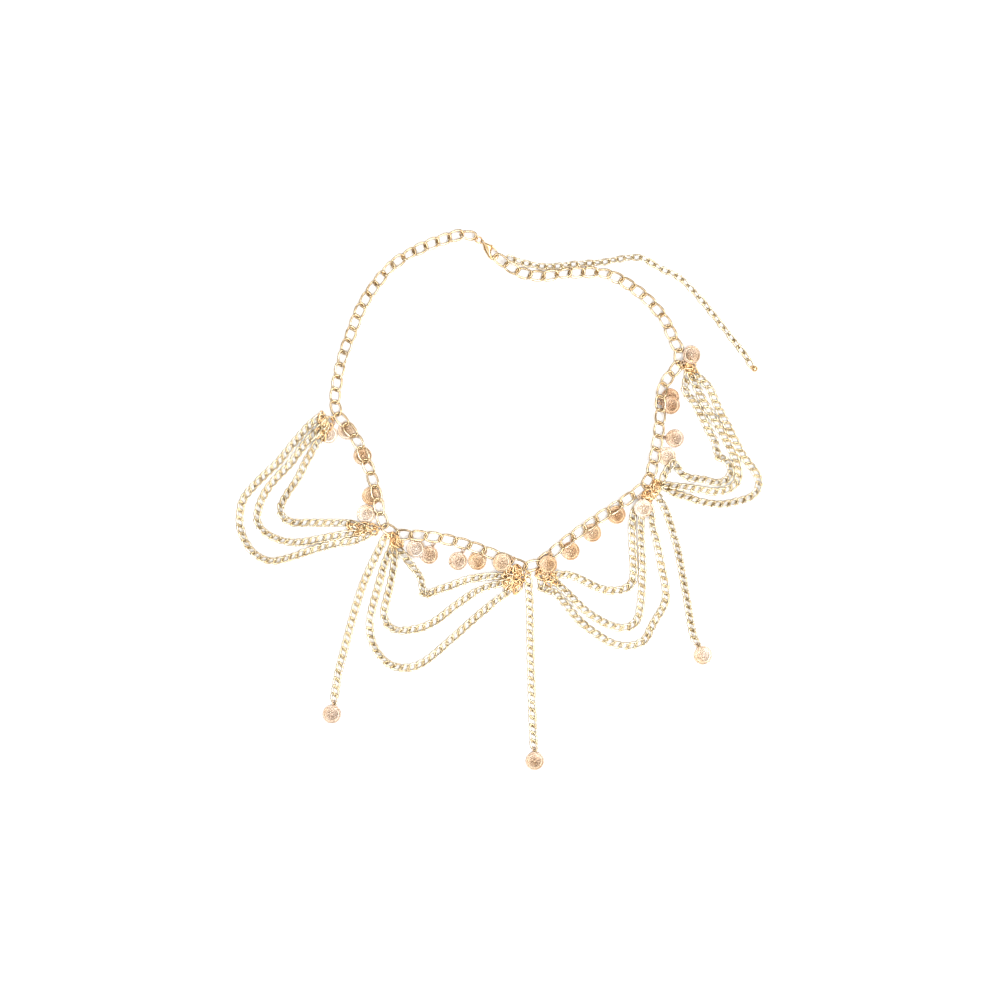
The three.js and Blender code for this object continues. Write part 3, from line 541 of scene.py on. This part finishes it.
# name, the ring or coin at each end, the shares of its length that lie edgewise, and its line
FINE_CHAINS = [
    ("swag_left_outer", "ring_left_rear", "ring_left_front", [(0.52, 0.72)], [
        (-0.1274, 0.0572), (-0.1333, 0.0522), (-0.1442, 0.04), (-0.1544, 0.0273), (-0.1657, 0.0165),
        (-0.1745, 0.0073), (-0.1802, -0.0007), (-0.182, -0.0104), (-0.1816, -0.02), (-0.177, -0.0312),
        (-0.1705, -0.0385), (-0.1617, -0.0425), (-0.1528, -0.0417), (-0.1343, -0.036),
        (-0.1135, -0.0302), (-0.1008, -0.0283)]),
    ("swag_left_middle", "ring_left_rear", "ring_left_front", [(0, 0.06), (0.49, 0.65), (0.93, 1)], [
        (-0.128, 0.0483), (-0.1375, 0.0379), (-0.1464, 0.0258), (-0.1625, 0.0081), (-0.1689, -0.0056),
        (-0.1697, -0.0152), (-0.1657, -0.0216), (-0.1569, -0.0269), (-0.1421, -0.0298),
        (-0.1255, -0.0272), (-0.1151, -0.0252), (-0.1038, -0.0231)]),
    ("swag_left_inner", "ring_left_rear", "ring_left_front", [(0, 0.06), (0.39, 0.56), (0.87, 1)], [
        (-0.1261, 0.043), (-0.1311, 0.0346), (-0.1368, 0.025), (-0.1408, 0.0162), (-0.1508, 0.0009),
        (-0.1536, -0.0055), (-0.152, -0.012), (-0.1456, -0.0156), (-0.1359, -0.016), (-0.1142, -0.016),
        (-0.1036, -0.0162)]),
    ("swag_centre_left_inner", "ring_centre_left_start", "ring_centre_left_end", [(0, 0.42), (0.86, 1)], [
        (-0.0677, -0.0379), (-0.0626, -0.0447), (-0.0575, -0.0515), (-0.0544, -0.0567),
        (-0.0542, -0.063), (-0.0521, -0.0675), (-0.0481, -0.0648), (-0.0422, -0.0626),
        (-0.0337, -0.06), (-0.0253, -0.0566), (-0.016, -0.0545), (-0.0057, -0.0532)]),
    ("swag_centre_left_middle", "ring_centre_left_start", "ring_centre_left_end",
     [(0, 0.17), (0.35, 0.42), (0.84, 1)], [
        (-0.0736, -0.043), (-0.0753, -0.0532), (-0.0795, -0.071), (-0.0813, -0.0795),
        (-0.0804, -0.0846), (-0.0762, -0.0897), (-0.0694, -0.0914), (-0.0617, -0.091),
        (-0.0541, -0.0892), (-0.0465, -0.0859), (-0.0304, -0.0736), (-0.0151, -0.0634),
        (-0.0074, -0.0604), (0.001, -0.0581)]),
    ("swag_centre_left_outer", "ring_centre_left_start", "ring_centre_left_end",
     [(0, 0.04), (0.35, 0.43), (0.9, 1)], [
        (-0.0795, -0.0414), (-0.0855, -0.0617), (-0.0906, -0.082), (-0.091, -0.0914),
        (-0.0889, -0.1007), (-0.0838, -0.1092), (-0.077, -0.1151), (-0.0685, -0.1177),
        (-0.0601, -0.1168), (-0.0516, -0.1126), (-0.0354, -0.099), (-0.0185, -0.0838),
        (-0.0032, -0.071), (0.0044, -0.0651)]),
    ("swag_centre_right_inner", "ring_centre_right_start", "ring_centre_right_end", [(0, 0.05), (0.84, 1)], [
        (0.0402, -0.0519), (0.049, -0.0527), (0.0587, -0.0567), (0.0683, -0.0615), (0.0769, -0.0636),
        (0.0852, -0.0631), (0.091, -0.0602), (0.0937, -0.0547), (0.0936, -0.0463), (0.0928, -0.0278),
        (0.0925, -0.014), (0.0945, -0.0063)]),
    ("swag_centre_right_middle", "ring_centre_right_start", "ring_centre_right_end", [(0, 0.09), (0.83, 1)], [
        (0.0411, -0.0591), (0.0478, -0.0655), (0.0598, -0.0775), (0.0743, -0.0865), (0.085, -0.0899),
        (0.0906, -0.0889), (0.0953, -0.0855), (0.0974, -0.0808), (0.099, -0.0698), (0.0997, -0.0587),
        (0.0997, -0.042), (0.0987, -0.0206), (0.0991, -0.0119)]),
    ("swag_centre_right_outer", "ring_centre_right_start", "ring_centre_right_end", [(0, 0.07), (0.87, 1)], [
        (0.0287, -0.0614), (0.033, -0.063), (0.0381, -0.0644), (0.0454, -0.0724), (0.0568, -0.0855),
        (0.0706, -0.0959), (0.0809, -0.1013), (0.092, -0.1023), (0.1014, -0.0983), (0.106, -0.0889),
        (0.1114, -0.0801), (0.1161, -0.0708), (0.1161, -0.0609), (0.1137, -0.049), (0.1101, -0.0302),
        (0.1069, -0.0182), (0.1061, -0.0098)]),
    ("swag_right_outer", "ring_right_start", "ring_right_end", [(0.57, 0.77), (0.87, 1)], [
        (0.1457, 0.08), (0.1522, 0.0661), (0.1608, 0.0494), (0.1709, 0.03), (0.1794, 0.0189),
        (0.1817, 0.0104), (0.1769, 0.0028), (0.1658, -0.0011), (0.1557, -0.0031), (0.1455, -0.0023),
        (0.1387, -0.001), (0.1319, 0.0018), (0.1233, 0.004)]),
    ("swag_right_middle", "ring_right_start", "ring_right_end", [(0, 0.06), (0.94, 1)], [
        (0.1389, 0.0766), (0.1449, 0.0647), (0.1532, 0.0514), (0.1608, 0.0376), (0.165, 0.0291),
        (0.1673, 0.0197), (0.1658, 0.0121), (0.159, 0.007), (0.1506, 0.0056), (0.1396, 0.0073),
        (0.1294, 0.0088), (0.1218, 0.0098)]),
    ("swag_right_inner", "ring_right_start", "ring_right_end", [(0, 0.07), (0.41, 0.95)], [
        (0.1302, 0.0825), (0.1298, 0.0756), (0.1358, 0.0686), (0.1413, 0.0588), (0.1464, 0.0486),
        (0.1514, 0.0384), (0.1523, 0.0308), (0.1574, 0.0283), (0.1616, 0.0234), (0.1617, 0.0181),
        (0.1582, 0.0136), (0.1506, 0.0119), (0.1455, 0.0138), (0.1387, 0.0147), (0.1319, 0.0155),
        (0.126, 0.0197), (0.1221, 0.0266), (0.1186, 0.0231), (0.1161, 0.0189)]),
    ("tassel_left", "ring_tassel_left", "coin_tassel_left", [], [
        (-0.0902, -0.0462), (-0.0972, -0.063), (-0.103, -0.0825), (-0.1084, -0.1028),
        (-0.1137, -0.1243)]),
    ("tassel_centre", "ring_tassel_centre", "coin_tassel_centre", [], [
        (0.0211, -0.0728), (0.0213, -0.0933), (0.0218, -0.1139), (0.0226, -0.1447)]),
    ("tassel_right", "ring_tassel_right", "coin_tassel_right", [(0.1, 1)], [
        (0.1158, -0.0065), (0.1194, -0.0164), (0.1248, -0.036), (0.1292, -0.0592), (0.1328, -0.0806),
        (0.1357, -0.0955)]),
]

ends = {name: (Vector((x, y)), radius) for name, x, y, radius in RINGS}
for name, x, y, ear, rise, lean, up, plating in COINS:
    heading = math.radians(ear)
    hole = Vector((x, y)) + EAR_REACH * Vector((math.cos(heading), math.sin(heading)))
    ends[name] = (hole, COIN_HOOK_RADIUS)


def fastened(end, towards):
    """Where a chain that comes from a place is hooked on a ring."""
    middle, radius = ends[end]
    return tuple(middle + (Vector(towards) - middle).normalized() * (radius - HOOKED))


def edgewise_at(share, length, stretches):
    """How far a link at a share of the chain's length is turned on its edge."""
    turn = 0
    for first, last in stretches:
        away = max(first - share, share - last, 0) * length
        turn = max(turn, 1 - away / EASING)
    return EDGEWISE * turn


# The second set of colours is darker, for the links' ends: painted shade where the links meet
fine_gold = [polished_gold_plate("gold_plated_fine_wire", ["#D8C5A6", "#E1D2B7", "#EBDFCB"]),
             polished_gold_plate("gold_plated_fine_wire_painted_joint_shade", ["#C2AE89", "#CEBD9A", "#DBCCB0"])]
for name, start, finish, edgewise, route in FINE_CHAINS:
    line = smooth_line([fastened(start, route[0])] + route + [fastened(finish, route[-1])])
    length = distances_along(line)[-1]
    links = round(length / FINE_PITCH)
    link = link_shape("fine_link", length / links + OVERLAP * FINE_WIRE, FINE_WIDTH, FINE_WIRE,
                      FINE_FLATNESS, FINE_TWIST, FINE_SLANT, around=16, across=8)
    rolls = [edgewise_at((i + 0.5) / links, length, edgewise)
             + hand.uniform(-FINE_UNEVENNESS, FINE_UNEVENNESS) for i in range(links)]
    chain_bm = bmesh.new()
    lay_chain(chain_bm, link, line, 0, length, links, FINE_WIDTH / 2, rolls)
    add_piece(name + "_links", chain_bm, fine_gold, "chain_gold", name)

# The gathered ends: where three swags meet at a ring, their last links lie heaped with the
# small jump rings that hold them. Loose links and rings of the same brass stand for these.

HEAP_STEP = 0.0007
HEAP_TURN = 1.1
HEAP_ROLL = 0.4
HEAP_RING_RADIUS = 0.0021
HEAP_RING_WIRE = FINE_WIRE * 0.8

# name of the ring, one end and the other of the heap, half its width, and its number of pieces
HEAPS = [
    ("ring_left_rear", (-0.1232, 0.0585), (-0.1242, 0.0435), 0.0033, 12),
    ("ring_left_front", (-0.1045, -0.0212), (-0.0872, -0.0198), 0.003, 9),
    ("ring_centre_left_start", (-0.0763, -0.0262), (-0.0695, -0.0315), 0.002, 6),
    ("ring_centre_left_end", (0.0098, -0.0485), (0.0088, -0.0625), 0.0055, 19),
    ("ring_centre_right_start", (0.0282, -0.0515), (0.0378, -0.0562), 0.003, 10),
    ("ring_centre_right_end", (0.101, 0.0004), (0.107, 0.0045), 0.003, 8),
    ("ring_right_end", (0.1078, 0.0063), (0.1118, 0.0095), 0.0025, 4),
    ("ring_right_start", (0.1295, 0.0962), (0.1337, 0.0905), 0.0028, 8),
]

heap_link = link_shape("heap_link", FINE_PITCH + OVERLAP * FINE_WIRE, FINE_WIDTH, FINE_WIRE,
                       FINE_FLATNESS, FINE_TWIST, FINE_SLANT, around=16, across=8)
heap_ring = ring_shape("heap_ring", HEAP_RING_RADIUS, HEAP_RING_WIRE, around=16, across=6)
# Darker colours for the heaped links' ends: painted shade where the links meet
joint_shade_ring_gold = polished_gold_plate("gold_plated_brass_rings_painted_joint_shade", ["#CFA674", "#DBB687", "#E5C69D"])
heap_gold = ring_gold + [joint_shade_ring_gold]
for name, one_end, other_end, half_width, number in HEAPS:
    axis = Vector((*other_end, 0)) - Vector((*one_end, 0))
    heading = math.atan2(axis.y, axis.x)
    heap_bm = bmesh.new()
    for i in range(number):
        middle = MIDDLE + Vector((*one_end, 0)) + axis * (i + 0.5) / number
        aside = Matrix.Rotation(heading, 3, "Z") @ Vector((0, hand.uniform(-half_width, half_width), 0))
        turn = (Matrix.Rotation(heading + hand.uniform(-HEAP_TURN, HEAP_TURN), 3, "Z")
                @ Matrix.Rotation(hand.uniform(-HEAP_ROLL, HEAP_ROLL), 3, "X"))
        shape = heap_ring if i % 3 == 2 else heap_link
        below = min((turn @ vert.co).z for vert in shape.vertices)
        rest = Matrix.Translation(middle + aside + Vector((0, 0, HEAP_STEP * (i % 3) - below)))
        put(heap_bm, shape, rest @ turn.to_4x4())
    add_piece(name.replace("ring", "heap", 1) + "_links", heap_bm, heap_gold, "chain_gold", name)

# The extension: a cable chain of gold-plated wire from the belt's end link, for closing the
# belt wider. Its links lie flat and tilted by turns, and a small solid drop hangs at its end.

EXTENDER_WIRE = 0.00135
EXTENDER_WIDTH = 0.0052
EXTENDER_PITCH = 0.0056
EXTENDER_ROLLS = (-0.16, 0.8)
EXTENDER_UNEVENNESS = 0.08
DROP = Vector((0.1782, 0.0918, 0))
DROP_HEIGHT = 0.0023
DROP_RADIUS = DROP_HEIGHT * 0.96
DROP_EAR_HEIGHT = 0.0017
DROP_EAR_TILT = 1.2

# From the belt's end link to the last link before the drop
EXTENSION_ROUTE = [
    (0.0052, 0.1698), (0.0142, 0.1667), (0.0251, 0.1642), (0.0307, 0.1634), (0.0387, 0.1636),
    (0.0547, 0.1653), (0.0724, 0.1665), (0.0841, 0.1688), (0.0958, 0.17), (0.1009, 0.169),
    (0.1112, 0.1626), (0.1255, 0.1558), (0.1392, 0.142), (0.1529, 0.1253), (0.1667, 0.1076),
    (0.1716, 0.1017)]

drop_ear = (DROP.x - 0.0018, DROP.y + 0.0016)
line = smooth_line(EXTENSION_ROUTE + [drop_ear])
length = distances_along(line)[-1]
links = round(length / EXTENDER_PITCH)
link = link_shape("extension_link", length / links + OVERLAP * EXTENDER_WIRE, EXTENDER_WIDTH,
                  EXTENDER_WIRE, flatness=1, twist=0, slant=0, around=14, across=6)
rolls = [EXTENDER_ROLLS[i % 2] + hand.uniform(-EXTENDER_UNEVENNESS, EXTENDER_UNEVENNESS)
         for i in range(links)]
extension_bm = bmesh.new()
lay_chain(extension_bm, link, line, 0, length, links, EXTENDER_WIDTH / 2, rolls)
add_piece("extension_chain_links", extension_bm, fine_gold, "chain_gold", "extension_chain")

drop_bm = bmesh.new()
drop_place = MIDDLE + DROP + Vector((0, 0, DROP_HEIGHT))
bmesh.ops.create_icosphere(drop_bm, subdivisions=3, radius=DROP_RADIUS,
                           matrix=Matrix.Translation(drop_place))
put(drop_bm, coin_ear, Matrix.Translation(MIDDLE + Vector((*drop_ear, DROP_EAR_HEIGHT)))
    @ Matrix.Rotation(DROP_EAR_TILT, 4, "X"))
add_piece("end_drop_bead", drop_bm, ring_gold, "chain_gold", "end_drop")

# The clasp: a cast lobster claw with a solid tail, an open hook, and a sprung trigger
# that closes it on the belt's end link. A jump ring holds its eye to the chain.

CLASP_TAIL = Vector((-0.012, 0.1804, 0))
CLASP_NOSE = Vector((-0.002, 0.1689, 0))
CLASP_HALF_THICK = 0.0013
TRIGGER_HALF_THICK = CLASP_HALF_THICK * 0.7
CLASP_EYE_RADIUS = 0.0011
CLASP_EYE_WIRE = 0.0008
CLASP_EYE_X = -0.0004
# A narrow place is at most this many times as thick as it is wide
MOST_THICKNESS = 1.5

# Along the claw and the trigger from the tail eye: x, y, half width
CLAW = [(0.0004, 0, 0.0009), (0.0018, 0, 0.0015), (0.0034, 0.0001, 0.0024), (0.0052, 0, 0.0030),
        (0.0066, -0.0008, 0.0027), (0.0084, -0.0021, 0.0017), (0.0105, -0.0028, 0.0012),
        (0.0124, -0.0025, 0.0012), (0.0138, -0.0015, 0.0012), (0.0142, 0, 0.0012),
        (0.0138, 0.0014, 0.0011), (0.0129, 0.0024, 0.0010), (0.0120, 0.0029, 0.0007)]
TRIGGER = [(0.0050, 0.0026, 0.0005), (0.0058, 0.0032, 0.0008), (0.0068, 0.0028, 0.0008),
           (0.0082, 0.0030, 0.0006), (0.0098, 0.0031, 0.0005), (0.0112, 0.0030, 0.0005)]


def swept_bar(bm, stations, half_thick):
    """A solid bar through stations, extruded from a round end and scaled at each."""
    bar = bmesh.ops.create_circle(bm, cap_ends=True, radius=1, segments=14)["verts"]
    bmesh.ops.rotate(bm, verts=bar, matrix=Matrix.Rotation(math.pi / 2, 3, "Y"))
    end = [face for face in bm.faces if face.verts[0] in bar]
    size, spot, turn = (1, 1), Vector((0, 0, 0)), 0
    for i, (x, y, half_width) in enumerate(stations):
        before = stations[max(i - 1, 0)]
        after = stations[min(i + 1, len(stations) - 1)]
        heading = math.atan2(after[1] - before[1], after[0] - before[0])
        if i:
            geom = bmesh.ops.extrude_face_region(bm, geom=end)["geom"]
            bmesh.ops.delete(bm, geom=end, context="FACES_ONLY")
            end = [part for part in geom if isinstance(part, bmesh.types.BMFace)]
        verts = end[0].verts[:]
        half_height = min(half_thick, half_width * MOST_THICKNESS)
        for step in (Matrix.Translation(-spot), Matrix.Rotation(-turn, 4, "Z"),
                     Matrix.Diagonal((1, half_width / size[0], half_height / size[1], 1)),
                     Matrix.Rotation(heading, 4, "Z"), Matrix.Translation((x, y, 0))):
            bmesh.ops.transform(bm, matrix=step, verts=verts)
        size, spot, turn = (half_width, half_height), Vector((x, y, 0)), heading
    bmesh.ops.recalc_face_normals(bm, faces=bm.faces)


claw_direction = CLASP_NOSE - CLASP_TAIL
clasp_place = (Matrix.Translation(MIDDLE + CLASP_TAIL + Vector((0, 0, CLASP_HALF_THICK)))
               @ Matrix.Rotation(math.atan2(claw_direction.y, claw_direction.x), 4, "Z"))
claw_bm = bmesh.new()
swept_bar(claw_bm, CLAW, CLASP_HALF_THICK)
clasp_eye = ring_shape("clasp_eye", CLASP_EYE_RADIUS, CLASP_EYE_WIRE, around=18, across=8)
put(claw_bm, clasp_eye, Matrix.Translation((CLASP_EYE_X, 0, 0)))
bmesh.ops.transform(claw_bm, matrix=clasp_place, verts=claw_bm.verts)
add_piece("clasp_claw", claw_bm, ring_gold, "chain_gold", "clasp_body")
trigger_bm = bmesh.new()
swept_bar(trigger_bm, TRIGGER, TRIGGER_HALF_THICK)
bmesh.ops.transform(trigger_bm, matrix=clasp_place, verts=trigger_bm.verts)
add_piece("clasp_lever", trigger_bm, ring_gold, "chain_gold", "clasp_trigger")

# The studio: a matt white acrylic table in a tent that is white overhead and grey-brown
# round its sides, which gives the polished wire its brown edges. Four softboxes stand
# around it, and the camera looks straight down.

TABLE_HALF_SIZE = 6
TABLE_GAP = 0.00005
TABLE_ROUGHNESS = 0.6
# The picture is FRAME_WIDTH wide at the height of AIM_HEIGHT
FRAME_WIDTH = 0.7
AIM_HEIGHT = 0.0015
LENS = 85
SENSOR = 36
NEAREST_SEEN = 0.01
TENT_STRENGTH = 1.1
DARK_SIDE = (-0.7, 0.7, 0)
SOFTBOX_SIZE = 1.0
SOFTBOX_DISTANCE = 2.0
SOFTBOX_ELEVATION = 52
# heading from the middle in degrees, and watts
SOFTBOXES = [(-110, 16), (-35, 17), (40, 16), (150, 10)]


def plain_white():
    """Matt white acrylic sheet: even, with no pattern."""
    material = bpy.data.materials.new("matt_white_acrylic")
    material.use_nodes = True
    shader = material.node_tree.nodes["Principled BSDF"]
    shader.inputs["Base Color"].default_value = linear("#FAFAFA")
    shader.inputs["Roughness"].default_value = TABLE_ROUGHNESS
    return material


table_bm = bmesh.new()
bmesh.ops.create_grid(table_bm, x_segments=1, y_segments=1, size=TABLE_HALF_SIZE)
bmesh.ops.translate(table_bm, verts=table_bm.verts, vec=(0, 0, -TABLE_GAP))
table_mesh = bpy.data.meshes.new("table")
table_bm.to_mesh(table_mesh)
table_bm.free()
table_mesh.materials.append(plain_white())
table = bpy.data.objects.new("table", table_mesh)
bpy.context.scene.collection.objects.link(table)

tent = bpy.data.worlds.new("tent")
bpy.context.scene.world = tent
tent.use_nodes = True
tent_links = tent.node_tree.links
direction = add_node(tent, "ShaderNodeTexCoord").outputs["Object"]
height = add_node(tent, "ShaderNodeSeparateXYZ", Vector=direction).outputs["Z"]
band = blend_colours(tent, height, [
    (0.0, "#000000"), (0.05, "#FFFFFF"), (0.76, "#FFFFFF"), (0.92, "#000000")])
towards_dark = add_node(tent, "ShaderNodeVectorMath", {"operation": "DOT_PRODUCT"})
tent_links.new(direction, towards_dark.inputs[0])
towards_dark.inputs[1].default_value = DARK_SIDE
depth = add_node(tent, "ShaderNodeMapRange", Value=towards_dark.outputs["Value"], From_Min=-0.8,
                 From_Max=0.8, To_Min=0.8, To_Max=1)
share = add_node(tent, "ShaderNodeMath", {"operation": "MULTIPLY"})
tent_links.new(band, share.inputs[0])
tent_links.new(depth.outputs["Result"], share.inputs[1])
colour = blend_colours(tent, share.outputs[0], [(0.0, "#FFFFFF"), (1.0, "#7C7266")])
tent_light = tent.node_tree.nodes["Background"]
tent_links.new(colour, tent_light.inputs["Color"])
tent_light.inputs["Strength"].default_value = TENT_STRENGTH

for heading, watts in SOFTBOXES:
    softbox = bpy.data.lights.new("softbox", "AREA")
    softbox.shape = "DISK"
    softbox.size = SOFTBOX_SIZE
    softbox.energy = watts
    softbox_object = bpy.data.objects.new("softbox", softbox)
    turn = (Matrix.Rotation(math.radians(heading), 4, "Z")
            @ Matrix.Rotation(math.radians(-SOFTBOX_ELEVATION), 4, "Y"))
    softbox_object.location = turn @ Vector((SOFTBOX_DISTANCE, 0, 0))
    softbox_object.rotation_euler = softbox_object.location.to_track_quat("Z", "Y").to_euler()
    bpy.context.scene.collection.objects.link(softbox_object)

camera = bpy.data.cameras.new("camera")
camera.lens = LENS
camera.sensor_width = SENSOR
camera.clip_start = NEAREST_SEEN
camera_object = bpy.data.objects.new("camera", camera)
camera_object.location = MIDDLE + Vector((0, 0, FRAME_WIDTH * LENS / SENSOR + AIM_HEIGHT))
bpy.context.scene.collection.objects.link(camera_object)
bpy.context.scene.camera = camera_object
bpy.context.scene.view_settings.view_transform = "Standard"
bpy.context.scene.view_settings.exposure = 0
